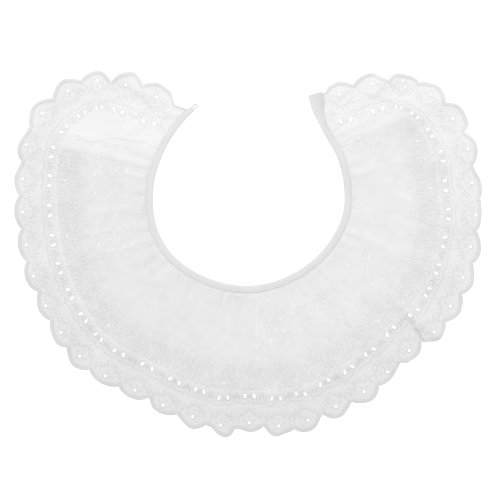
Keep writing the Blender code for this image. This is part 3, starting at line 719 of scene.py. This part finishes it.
def makeFrill():
    outline, holes = frillOutline(), cutLoops()
    fixed = np.vstack([outline] + holes)
    spread = spreadPoints()
    spread = spread[insideLoop(spread, outline)]
    gap = nearest(spread, fixed)
    near = neckReach(polar(spread)[0]) + 24.0 > polar(spread)[1]
    spread = spread[gap > np.where(near, 0.55, 0.8)]
    for hole in holes:
        centre = hole.mean(axis=0)
        beside = np.hypot(*(spread - centre).T) < 4.0
        drop = np.flatnonzero(beside)[insideLoop(spread[beside], hole)]
        spread = np.delete(spread, drop, axis=0)
    edges, first = [], 0
    for loop in [outline] + holes:
        edges += [(first + i, first + (i + 1) % len(loop)) for i in range(len(loop))]
        first += len(loop)
    flat, _, faces, _, _, _ = delaunay_2d_cdt([Vector(p) for p in np.vstack([fixed, spread])], edges, [], 0, 1e-5)
    flat, faces = np.array([tuple(p) for p in flat]), np.array(faces)
    centres = flat[faces].mean(axis=1)
    keep = insideLoop(centres, outline)
    for hole in holes:
        beside = np.flatnonzero(np.hypot(*(centres - hole.mean(axis=0)).T) < 4.0)
        keep[beside[insideLoop(centres[beside], hole)]] = False
    faces = faces[keep]
    a, b, c = (flat[faces[:, i]] for i in range(3))
    turns = np.cross(b - a, c - a)
    faces = np.where((turns < 0)[:, None], faces[:, ::-1], faces)
    used, faces = np.unique(faces, return_inverse=True)
    flat, faces = flat[used], faces.reshape(-1, 3)
    print("frill triangulated", len(flat), "points")
    points = np.c_[flat, laceHeight(flat)]
    angle, reach = polar(flat)
    scallop = scallopAt(angle)
    depth = pushedHem(scallop)[1] - reach
    v = np.clip(depth / (pushedHem(scallop)[1] - neckReach(angle)), 0.0, 1.0)
    # the lace's painted shade, with painted highlights and shade along the creases
    tone = laceTone(flat) + creaseBells(flat) @ creases["light"]
    # painted shadow: a dark line just before the fold, fading from the hem inwards
    lip = pastLip(scallop, 1 - v)
    tone = tone - 0.13 * np.exp(-((lip + 0.03) / 0.035) ** 2) * ease((0.30 - v) / 0.22)
    walls, wallFaces = wallOf(points, faces, frill["thickness"])
    uv = np.stack([scallop * collar["pitch"], depth], -1) * 0.1
    return addPiece("laceFrill", walls, wallFaces, materials["eyeletLawn"],
                    np.vstack([uv, uv]), np.append(tone, tone))


laceFrill = makeFrill()
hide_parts("eyelet_frill")


# Satin-stitched edge of the scallops
satinEdge = {
    "samples": 36,              # rings to a scallop
    "width": 2.9,
    "rise": 0.38,
    "endShare": 0.45,           # of the width, along the frill's two short ends
    "section": [(0.0, -0.2), (-0.02, 0.1), (0.10, 0.70), (0.35, 1.0), (0.60, 0.92), (0.84, 0.58),
                (1.0, 0.1), (0.9, -0.3), (0.5, -0.36), (0.1, -0.36)],
}


def edgePath():                 # the scallops on the plan, run on along the short ends to the binding
    hem = onPlan(scallopCurve(satinEdge["samples"]))
    first, last = neckLine["angle"][0] + collar["frillEnd"], neckLine["angle"][-1] - 0.4
    left = np.array([bindingPoint(first, 1.0), *frillEnds["left"][::-1], hem[0]])
    right = np.array([hem[-1], *frillEnds["right"], bindingPoint(last, 1.0)])
    runs = []
    for end in (left, right):
        chord = np.append(0.0, np.cumsum(np.hypot(*np.diff(end, axis=0).T)))
        run = np.linspace(0, chord[-1], int(chord[-1] / 0.5) + 2)
        runs.append(np.stack([smooth(run, chord, end[:, 0]), smooth(run, chord, end[:, 1])], -1))
    path = np.vstack([runs[0][:-1], hem, runs[1][1:]])
    share = np.concatenate([np.zeros(len(runs[0]) - 1), np.ones(len(hem)), np.zeros(len(runs[1]) - 1)])
    share = np.convolve(np.pad(share, 4, mode="edge"), np.full(9, 1 / 9), mode="valid")
    return path, satinEdge["width"] * (satinEdge["endShare"] + (1 - satinEdge["endShare"]) * share)


def makeSatinEdge():            # a low dome carried along the edge, square to it
    curve, width = edgePath()
    section = np.array(satinEdge["section"])
    plan = np.stack([insetCurve(curve, (c * width)[:, None]) for c in section[:, 0]], 1)
    height = laceHeight(plan) + 0.14 + section[:, 1] * satinEdge["rise"]
    coords = np.concatenate([plan, height[..., None]], -1)[None]
    run = np.append(0.0, np.cumsum(np.hypot(*np.diff(curve, axis=0).T)))
    uv = np.stack(np.broadcast_arrays(run[:, None], section[:, 0] * satinEdge["width"]), -1) * 0.1
    points, faces = tubes(coords, False)
    if not np.allclose(points[:len(section)], coords[0, 0]):
        uv = uv[:, ::-1]
    return addPiece("satinEdge", points, faces, materials["satinStitch"], uv.reshape(-1, 2))


def makeRims(name, outlineGrown, placed, rings):
    # overcast rims: an oval section (cos, sin) carried round each eyelet's outline on the plan
    turn = np.linspace(0, 2 * math.pi, 8, endpoint=False)
    grow = 0.5 * eyelets["rim"] * (1 + np.cos(turn)) - 0.14
    plan = np.stack([placed(outlineGrown(g, rings)) for g in grow], 2)
    height = laceHeight(plan) + eyelets["rimLift"] + eyelets["rimRise"] * np.sin(turn)
    points, faces = tubes(np.concatenate([plan, height[..., None]], -1), True)
    around = np.linspace(0, 1, rings, endpoint=False)[:, None] * 9.0
    uv = np.broadcast_to(np.stack(np.broadcast_arrays(around * 0.12, turn * 0.02), -1), plan.shape)
    return addPiece(name, points, faces, materials["flatStitch"], uv.reshape(-1, 2))


laceEdge = makeSatinEdge()
roundRims = makeRims("roundEyeletRims", lambda g, n: roundOutline(eyelets["roundRadius"] + g, n)[None],
                     lambda shape: onPlan(repeated(shape, every)), 22)
leafRims = makeRims("leafEyeletRims", leafPair, lambda shape: onPlan(repeated(shape, every)), 22)
pinRims = makeRims("pinEyeletRims", lambda g, n: roundOutline(eyelets["pinRadius"] + g, n)[None],
                   lambda shape: linePins[:, None] + shape, 16)


# Satin-stitched dots, sown over parts of the field, and one more in some repeats of the sprays
dots = {
    "radius": 1.15,
    "rise": 0.24,
    "tone": 1.0,
    "sprayPlace": (-1.0, 32.5),
    "sprayScallops": [6, 8, 12, 17, 20, 24, 25, 30, 32],
    "rows": (56.0, 64.5, 73.0, 81.5),       # depths of the field's rows
    "stretches": [(5.0, 10.5), (19.5, 27.0)],
    "kept": 0.5,                # share of the field's places that hold a dot
    # across the radius, and height
    "section": [(0.90, -0.5), (1.0, 0.3), (0.92, 0.62), (0.72, 0.86), (0.42, 0.98), (0.12, 1.0)],
}


def dotPlaces():                # half scallops apart in each row, shaken a little, half of them left out
    random = np.random.default_rng(11)
    along = np.concatenate([np.arange(first, last, 0.5) for first, last in dots["stretches"]])
    places = np.stack(np.meshgrid(along, dots["rows"], indexing="ij"), -1).reshape(-1, 2)
    places = places + random.uniform(-1, 1, places.shape) * (0.08, 1.6)
    field = places[random.uniform(0, 1, len(places)) < dots["kept"]] * (collar["pitch"], 1.0)
    spray = repeated(np.array([dots["sprayPlace"]]), dots["sprayScallops"])
    return onPlan(np.vstack([field, spray]))


def makeDots():                 # round domes, ring by ring from the edge to the crown
    section = np.array(dots["section"])
    turn = roundOutline(dots["radius"], 14)
    plan = dotPlaces()[:, None, None] + section[:, :1, None] * turn
    height = laceHeight(plan) + 0.14 + dots["rise"] * section[:, 1:]
    points, faces = tubes(np.concatenate([plan, height[..., None]], -1), False)
    return addPiece("satinDots", points, faces, materials["flatStitch"],
                    points[:, :2] * 0.1, np.full(len(points), dots["tone"]))


satinDots = makeDots()


# Satin-stitched leaves and stems of one repeat: from, to, width and sideways bow
embroidery = {
    "lift": 0.16,               # of the stitches' edge over the middle of the cloth
    "rise": 0.14,
    "sprayDepth": 24.5,         # what lies deeper is worked only where the under layer backs it
    "sprayShade": 0.085,
    "leaves": [
        (0.0, 8.6, 0.0, 12.8, 2.1, 0.0),
        (-1.3, 8.4, -4.6, 11.6, 1.8, 0.5), (1.3, 8.4, 4.6, 11.6, 1.8, -0.5),
        (-9.0, 3.0, -11.3, 6.4, 1.7, 0.4), (9.0, 3.0, 11.3, 6.4, 1.7, -0.4),
        (-7.0, 5.4, -8.7, 9.3, 1.7, 0.4), (7.0, 5.4, 8.7, 9.3, 1.7, -0.4),
        (-3.0, 1.6, -6.1, 2.6, 1.4, 0.3), (3.0, 1.6, 6.1, 2.6, 1.4, -0.3),
        (-5.4, 4.2, -4.0, 7.0, 1.3, 0.3), (5.4, 4.2, 4.0, 7.0, 1.3, -0.3),
        (0.0, 2.9, 0.0, 5.6, 1.3, 0.0),
        (0.0, 18.2, 0.0, 22.8, 1.7, 0.0), (12.35, 18.2, 12.35, 23.4, 1.7, 0.0),
        (-8.9, 17.4, -9.6, 22.0, 1.4, 0.4), (8.9, 17.4, 9.6, 22.0, 1.4, -0.4),
        (-3.6, 27.2, -7.2, 36.0, 2.8, 1.0), (2.8, 27.0, 6.2, 36.0, 2.8, -1.0),
        (-1.0, 34.4, 0.9, 44.0, 2.8, 0.8), (0.6, 26.0, 0.8, 31.4, 1.9, 0.3),
        (-4.6, 37.0, -6.0, 44.6, 2.3, -0.7), (3.8, 36.4, 5.1, 43.4, 2.3, 0.7),
        (-10.2, 27.0, -11.2, 34.8, 2.3, 0.5), (9.2, 27.0, 10.6, 34.6, 2.3, -0.5),
        (1.6, 45.6, 1.2, 51.0, 1.7, -0.4), (-9.2, 36.6, -9.8, 42.6, 1.8, -0.4),
        (8.4, 36.4, 9.2, 42.2, 1.8, 0.4),
    ],
    "stems": [
        (-10.4, 0.6, -1.2, 8.4, 0.8, 1.7), (10.4, 0.6, 1.2, 8.4, 0.8, -1.7),
        (-12.3, 16.2, -0.05, 16.2, 1.0, -1.3), (0.05, 16.2, 12.3, 16.2, 1.0, -1.3),
        (-7.4, 25.2, -0.05, 26.4, 0.8, 1.0), (0.05, 26.4, 7.4, 25.2, 0.8, 1.0),
    ],
    "section": [(-1.0, -1.0), (-1.0, 0.0), (-0.6, 0.78), (0.0, 1.0), (0.6, 0.78), (1.0, 0.0), (1.0, -1.0)],
}


def makeEmbroidery(name, rows, rings, blunt):
    # centre line = from + s (to - from) + bow 4s(1-s); half width = sin(pi s)^blunt of the full one
    part = columns("a0 d0 a1 d1 width bow", rows)
    start = np.stack([part["a0"], part["d0"]], -1)[:, None]
    run = np.stack([part["a1"], part["d1"]], -1)[:, None] - start
    length = np.hypot(run[..., 0], run[..., 1])[..., None]
    side = np.stack([-run[..., 1], run[..., 0]], -1) / length
    s = np.linspace(0, 1, rings)[:, None]
    middle = start + s * run + side * part["bow"][:, None, None] * 4 * s * (1 - s)
    half = 0.5 * part["width"][:, None] * np.maximum(np.sin(math.pi * s[:, 0]) ** blunt, 0.07)
    section = np.array(embroidery["section"])
    repeat = middle[:, :, None] + side[:, :, None] * (half[..., None] * section[:, 0])[..., None]
    lace = repeated(repeat, every)
    crown = np.tile(np.maximum(half / half.max(axis=1, keepdims=True), 0.35) ** 0.5, (len(every), 1))
    lift = embroidery["lift"] + embroidery["rise"] * crown[..., None] * section[:, 1]
    centre = lace.mean(axis=(1, 2))
    stretch = np.hypot(*(onPlan(centre + (0.5, 0.0)) - onPlan(centre - (0.5, 0.0))).T)
    angle, reach = polar(onPlan(centre))
    room = reach - neckReach(angle) - bindingWidth(angle)
    inStrip = (lace[..., 0].min(axis=(1, 2)) > -0.4) & (lace[..., 0].max(axis=(1, 2)) < 914.3)
    backed = (centre[:, 1] < embroidery["sprayDepth"]) | (pastUnderLayer(angle, reach) < -1.0)
    keep = inStrip & (stretch > 0.5) & (room > 5.0) & backed
    coords = onLace(lace[keep], lift[keep])
    points, faces = tubes(coords, False)
    alongUv = np.tile((s[:, 0] * length[:, 0]), (len(every), 1))[keep][..., None] * 0.1
    uv = np.stack(np.broadcast_arrays(alongUv, section[:, 0] * 0.05), -1)
    plan = points[:, :2]
    # the lace's painted shade, less sprayShade where the under layer backs the stitches
    tone = laceTone(plan) - embroidery["sprayShade"] * overUnderLayer(*polar(plan))
    return addPiece(name, points, faces, materials["flatStitch"], uv.reshape(-1, 2), tone)


satinLeaves = makeEmbroidery("satinLeaves", embroidery["leaves"], 7, 0.7)
satinStems = makeEmbroidery("satinStems", embroidery["stems"], 12, 0.12)


# Fine stitched lines across the two ends of the frill, as plan points
endLines = {
    "width": 0.9,
    "rise": 0.16,
    "left": [(-131.2, 88.2), (-127.0, 86.5), (-121.3, 85.7), (-113.6, 87.2), (-105.0, 88.4), (-98.0, 88.0),
             (-90.0, 86.4), (-82.5, 85.3)],
    "right": [(72.9, 84.9), (78.4, 88.8), (85.0, 90.8), (91.6, 91.9)],
}


def ribbon(path, width, rise, lift):    # a low dome, width by rise, along a smooth path on the lace
    path = np.asarray(path, float)
    chord = np.append(0.0, np.cumsum(np.hypot(*np.diff(path, axis=0).T)))
    run = np.linspace(0, chord[-1], int(chord[-1] / 0.6) + 2)
    middle = np.stack([smooth(run, chord, path[:, 0]), smooth(run, chord, path[:, 1])], -1)
    section = np.array(embroidery["section"])
    plan = np.stack([insetCurve(middle, 0.5 * width * c) for c in section[:, 0]], 1)
    height = laceHeight(plan) + lift + rise * section[:, 1]
    points, faces = tubes(np.concatenate([plan, height[..., None]], -1)[None], False)
    uv = np.stack(np.broadcast_arrays(run[:, None], section[:, 0] * 0.5 * width), -1) * 0.1
    return points, faces, uv.reshape(-1, 2)


def makeEndStem(side):
    points, faces, uv = ribbon(endLines[side], endLines["width"], endLines["rise"], embroidery["lift"])
    return addPiece(side + "EndStem", points, faces, materials["flatStitch"], uv)


endStems = [makeEndStem(side) for side in ("left", "right")]


# Plain layer under the frill
underLayer = {
    "rows": 44, "cols": 190,
    "thickness": 0.22,
    "rest": 0.26,               # middle of the cloth above the floor
    "ripple": 0.16,
    "neckHeight": 0.78,         # where it enters the binding
    "hemWidth": 1.7,
    "hemRise": 0.16,
    "flat": (0.306, 0.228),     # the box of its flat cut, hem and seam allowances included
    "cutArea": 0.0400,
}


def underPoint(along, out):     # angle runs between the two ends at this reach, reach from neck to hem
    reach = 80.0 + 70.0 * out + 0.0 * along
    for _ in range(5):
        angle = collar["underLeft"] + along * (underRightEnd(reach) - collar["underLeft"])
        inner = neckReach(angle) + bindingWidth(angle) - frill["tuckIntoBinding"]
        reach = inner + out * (underEdge(angle) - inner)
    return at(angle, reach)


def underHeight(points):        # nearly flat, with the ripples of a thin cloth, rising into the binding
    angle, reach = polar(points)
    x, y = points[..., 0], points[..., 1]
    wave = 0.5 + 0.25 * np.sin(0.16 * x + 0.9 * np.sin(0.07 * y)) + 0.25 * np.sin(0.19 * y - 0.11 * x + 0.5)
    height = underLayer["rest"] + underLayer["ripple"] * wave
    seam = 1 - ease((reach - neckReach(angle) - bindingWidth(angle)) / 5.0)
    return height + (underLayer["neckHeight"] - height) * seam


def makeUnderLayer():
    along = np.linspace(0, 1, underLayer["cols"])
    out = np.linspace(0, 1, underLayer["rows"])[:, None]
    plan = underPoint(along + 0 * out, out + 0 * along).reshape(-1, 2)
    points = np.c_[plan, underHeight(plan)]
    faces = gridFaces(underLayer["rows"], underLayer["cols"])
    walls, wallFaces = wallOf(points, faces, underLayer["thickness"])
    uv = np.stack(polar(plan), -1) * (0.23, 0.1)
    return addPiece("underLayer", walls, wallFaces, materials["voile"], np.vstack([uv, uv]))


def underHemPath(inset):        # out along the left end, round the hem and back along the right end
    t = np.linspace(0.08, 1, 60)[:-1]
    u = np.linspace(0, 1, 420)
    along = np.concatenate([0 * t, u, 0 * t + 1])
    out = np.concatenate([t, 0 * u + 1, t[::-1]])
    path = np.pad(underPoint(along, out), ((5, 5), (0, 0)), mode="edge")
    rounded = np.stack([np.convolve(line, np.full(11, 1 / 11), mode="valid") for line in path.T], -1)
    return insetCurve(rounded[3:-3], inset)


def makeUnderHem():             # turned hem: a second ply lying on the edge of the layer
    section = np.array([(0.0, -0.4), (0.0, 0.7), (0.08, 1.0), (0.5, 1.0), (0.94, 0.9), (1.0, 0.1), (0.5, -0.2)])
    plan = np.stack([underHemPath(0.1 + c * underLayer["hemWidth"]) for c in section[:, 0]], 1)
    lift = 0.5 * underLayer["thickness"] + section[:, 1] * underLayer["hemRise"]
    coords = np.concatenate([plan, (underHeight(plan) + lift)[..., None]], -1)[None]
    points, faces = tubes(coords, False)
    return addPiece("underHem", points, faces, materials["foldedHem"], points[:, :2] * 0.1)


def dashes(path, heightOf, pitch, length, width, rise):
    # running stitches: short tubes whose section swells as sin^0.4 along each dash
    run = np.append(0.0, np.cumsum(np.hypot(*np.diff(path, axis=0).T)))
    starts = np.arange(0.4 * pitch, run[-1] - length, pitch)
    s = np.linspace(0, 1, 5)
    where = starts[:, None] + s * length
    middle = np.stack([np.interp(where, run, path[:, 0]), np.interp(where, run, path[:, 1])], -1)
    way = np.gradient(middle, axis=1)
    side = np.stack([-way[..., 1], way[..., 0]], -1) / np.hypot(way[..., 0], way[..., 1])[..., None]
    swell = np.maximum(np.sin(math.pi * s), 0.1) ** 0.4
    turn = np.linspace(0, 2 * math.pi, 6, endpoint=False)
    plan = middle[:, :, None] + side[:, :, None] * (0.5 * width * swell[:, None] * np.cos(turn))[None, ..., None]
    height = heightOf(middle)[..., None] + (rise * swell[:, None] * np.sin(turn))[None]
    coords = np.concatenate([plan, height[..., None]], -1)
    uv = np.stack(np.broadcast_arrays((s * length)[:, None] * 0.1, turn * 0.03), -1)
    return tubes(coords, False) + (np.tile(uv.reshape(-1, 2), (len(starts), 1)),)


plainLayer = makeUnderLayer()
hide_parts("under_layer")
underHem = makeUnderHem()
points, faces, uv = dashes(underHemPath(1.5), lambda p: underHeight(p) + 0.30, 2.6, 1.7, 0.24, 0.09)
hemStitches = addPiece("hemStitches", points, faces, materials["hemThread"], uv)


# Neck binding: bias tape folded in four round the gathered edges
binding = {
    "rings": 300,
    "thickness": 0.24,
    "flat": (0.0225, 0.415),
    # fold line of the tape's section: across the finished width, and height
    "fold": [(0.30, 1.80), (0.62, 1.76), (0.88, 1.66), (0.96, 1.66), (0.99, 1.72), (0.97, 1.80),
             (0.90, 1.93), (0.74, 2.09), (0.50, 2.22), (0.26, 2.26), (0.11, 2.10), (0.04, 1.76),
             (0.02, 1.28), (0.04, 0.76), (0.11, 0.34), (0.26, 0.17), (0.50, 0.15), (0.80, 0.15),
             (0.94, 0.18), (0.975, 0.30), (0.95, 0.43), (0.85, 0.50), (0.55, 0.50), (0.30, 0.50)],
    "stitchPlace": 0.84,
    "endShade": 0.04,           # how much greyer the folded right end is, from this direction on
    "endFrom": 401.0,
    "endFade": 8.0,
    "sideShade": 0.05,          # how much greyer its outer side is than its inner one
    "sideFrom": 392.0,
    "turnedIn": (3.3, 0.5),     # how far the closed ends' cloth reaches into the fold, left and right
    # rings of the closed ends: share of that reach, distance past the end, share of the section
    "endRings": [(1.0, 0.0, 0.93), (0.5, 0.0, 0.93), (0.0, 0.0, 0.93), (0.0, 0.12, 0.84), (0.0, 0.18, 0.55)],
    "stitchHeight": 2.10,
    "stitchPitch": 2.7,
    "pucker": 0.07,
}


def makeBinding():              # the folded section, given a thickness, carried round the neck
    fold = np.array(binding["fold"]) * (collar["bindingWidth"], 1.0)
    way = np.gradient(fold, axis=0)
    side = np.stack([-way[:, 1], way[:, 0]], -1) / np.hypot(way[:, 0], way[:, 1])[:, None]
    half = 0.5 * binding["thickness"]
    loop = np.concatenate([fold + half * side, (fold - half * side)[::-1]])
    angle = np.linspace(neckLine["angle"][0], neckLine["angle"][-1], binding["rings"])
    across, height = loop[:, 0] / collar["bindingWidth"], loop[:, 1]
    plan = bindingPoint(angle[:, None] + 0 * across, across + 0 * angle[:, None])
    run = np.append(0.0, np.cumsum(np.hypot(*np.diff(bindingPoint(angle, 0.5), axis=0).T)))
    near = np.exp(-((across - binding["stitchPlace"]) / 0.12) ** 2) * ease((height - 1.6) / 0.5)
    pull = 0.5 + 0.5 * np.cos(2 * math.pi * run / binding["stitchPitch"])
    drift = 0.6 + 0.4 * np.sin(run / 7.3) * np.sin(run / 17.0)
    lift = height - 0.05 * near - binding["pucker"] * near * (pull * drift)[:, None]
    lift = lift + 0.05 * ease((height - 1.6) / 0.5) * np.sin(run / 3.1 + np.sin(run / 9.0))[:, None]
    coords = np.concatenate([plan, lift[..., None]], -1)[None]
    points, faces = tubes(coords, False)
    girth = np.append(0.0, np.cumsum(np.hypot(*np.diff(loop, axis=0).T)))
    turned = 0.7071 * np.stack([run[:, None] + girth, run[:, None] - girth], -1) * 0.1    # cut on the bias
    direction = np.repeat(angle, len(across))
    atEnd = ease((direction - binding["endFrom"]) / binding["endFade"])
    atSide = ease((direction - binding["sideFrom"]) / binding["endFade"]) * (np.tile(across, len(angle)) - 0.5)
    tone = 1 - binding["endShade"] * atEnd - binding["sideShade"] * 2 * atSide
    return addPiece("neckBinding", points, faces, materials["bindingLawn"],
                    turned.reshape(-1, 2), tone)


def makeBindingEnds():          # each end's turned-in cloth, filling the fold and rounded off past it
    section = np.array(binding["fold"][3:20])
    middle = section.mean(axis=0)
    reach, past, share = np.array(binding["endRings"]).T[..., None]
    section = middle + share[..., None] * (section - middle)
    end = neckLine["angle"][[0, -1], None, None]
    inward = reach * np.array(binding["turnedIn"])[:, None, None] - past
    angle = end + [[[1.0]], [[-1.0]]] * np.degrees(inward / neckReach(end))
    plan = bindingPoint(angle + 0 * section[..., 0], section[..., 0] + 0 * angle)
    height = np.broadcast_to(section[..., 1], plan.shape[:-1])
    points, faces = tubes(np.concatenate([plan, height[..., None]], -1), False)
    return addPiece("bindingEnds", points, faces, materials["bindingLawn"],
                    points[:, [0, 2]] * 0.1, np.full(len(points), 1 - binding["endShade"]))


neckBinding = makeBinding()
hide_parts("neck_binding")
bindingEnds = makeBindingEnds()
stitchAngle = np.linspace(neckLine["angle"][0] + 0.8, neckLine["angle"][-1] - 0.8, 900)
points, faces, uv = dashes(bindingPoint(stitchAngle, binding["stitchPlace"]), lambda p: binding["stitchHeight"] + 0 * p[..., 0],
                           binding["stitchPitch"], 2.1, 0.34, 0.12)
bindingStitches = addPiece("bindingStitches", points, faces, materials["bindingThread"], uv)


# Worked thread loop at the left end
threadLoop = {"length": 7.0, "width": 3.6, "thread": 1.0, "tail": 1.2, "turns": 15, "height": 1.3}


def makeThreadLoop():           # a round cord on a long bend, its surface raised in two spiral ridges
    first = neckLine["angle"][0]
    foot = at(first, neckReach(first) + 0.5 * collar["leftEndWidth"])
    tail = at(first + 4.0, neckReach(first + 4.0) + 0.5 * collar["leftEndWidth"])
    out = (foot - tail) / np.hypot(*(foot - tail))
    side = np.array([-out[1], out[0]])
    half = 0.5 * (threadLoop["width"] - threadLoop["thread"])
    straight = threadLoop["length"] - threadLoop["width"]
    s = np.linspace(-1, 1, 121)
    bend = 0.42                 # share of the path taken by the round end
    turn = np.clip(s / bend, -1, 1) * 0.5 * math.pi
    leg = np.clip((np.abs(s) - bend) / (1 - bend), 0, 1)
    along = straight + half * np.cos(turn) - leg * (straight + threadLoop["tail"])
    across = half * np.sin(turn) * (1 - 0.5 * ease(leg))
    centre = foot + along[:, None] * out + across[:, None] * side
    run = np.append(0.0, np.cumsum(np.hypot(*np.diff(centre, axis=0).T)))
    way = np.gradient(centre, axis=0)
    normal = np.stack([-way[:, 1], way[:, 0]], -1) / np.hypot(way[:, 0], way[:, 1])[:, None]
    around = np.linspace(0, 2 * math.pi, 12, endpoint=False)
    twist = 2 * math.pi * threadLoop["turns"] * (run / run[-1])[:, None]
    radius = 0.5 * threadLoop["thread"] * (0.92 + 0.10 * np.cos(2 * around - twist))
    plan = centre[:, None] + normal[:, None] * (radius * np.cos(around))[..., None]
    height = threadLoop["height"] + radius * np.sin(around)
    points, faces = tubes(np.concatenate([plan, height[..., None]], -1)[None], False)
    uv = np.stack(np.broadcast_arrays(run[:, None], around * 0.3), -1) * 0.1
    return addPiece("threadLoop", points, faces, materials["thread"], uv.reshape(-1, 2))


loop = makeThreadLoop()
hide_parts("button_loop")

print("collar made")


# Plain pale floor, soft light from all round and a little more of it from the back
studio = {
    "floor": 0.25,              # what the paper reflects, over what it glows with as a light table
    "glow": 0.85,
    "surround": 1.0,
    "keyPower": 9.0,
    "keyPlace": (-0.15, 1.1, 1.3),
    "keySize": 1.0,
    "aim": (0.0007, 0.0017, 0.0),
    "cameraHeight": 1.6,
    "field": 0.3885,
}


def makeStudio():
    half = 2.0
    mesh = bpy.data.meshes.new("floor")
    mesh.from_pydata([(-half, -half, 0), (half, -half, 0), (half, half, 0), (-half, half, 0)], [], [(0, 1, 2, 3)])
    floor = bpy.data.objects.new("floor", mesh)
    bpy.context.scene.collection.objects.link(floor)
    paper = bpy.data.materials.new("paper")
    paper.use_nodes = True
    shader = paper.node_tree.nodes["Principled BSDF"]
    shader.inputs["Base Color"].default_value = (studio["floor"],) * 3 + (1.0,)
    shader.inputs["Roughness"].default_value = 1.0
    shader.inputs["Specular IOR Level"].default_value = 0.0
    shader.inputs["Emission Color"].default_value = (1, 1, 1, 1)
    shader.inputs["Emission Strength"].default_value = studio["glow"]
    mesh.materials.append(paper)

    world = bpy.data.worlds.new("studio")
    world.use_nodes = True
    world.node_tree.nodes["Background"].inputs["Color"].default_value = (1, 1, 1, 1)
    world.node_tree.nodes["Background"].inputs["Strength"].default_value = studio["surround"]
    bpy.context.scene.world = world

    lamp = bpy.data.lights.new("key", "AREA")
    lamp.energy = studio["keyPower"]
    lamp.size = studio["keySize"]
    key = bpy.data.objects.new("key", lamp)
    key.location = studio["keyPlace"]
    key.rotation_euler = (Vector((0, 0, 0)) - Vector(studio["keyPlace"])).to_track_quat("-Z", "Y").to_euler()
    bpy.context.scene.collection.objects.link(key)

    lens = bpy.data.cameras.new("camera")
    lens.sensor_width = 36.0
    lens.lens = lens.sensor_width * studio["cameraHeight"] / studio["field"]
    camera = bpy.data.objects.new("camera", lens)
    camera.location = Vector(studio["aim"]) + Vector((0, 0, studio["cameraHeight"]))
    bpy.context.scene.collection.objects.link(camera)
    bpy.context.scene.camera = camera
    bpy.context.scene.view_settings.view_transform = "Standard"


makeStudio()
print("studio made")
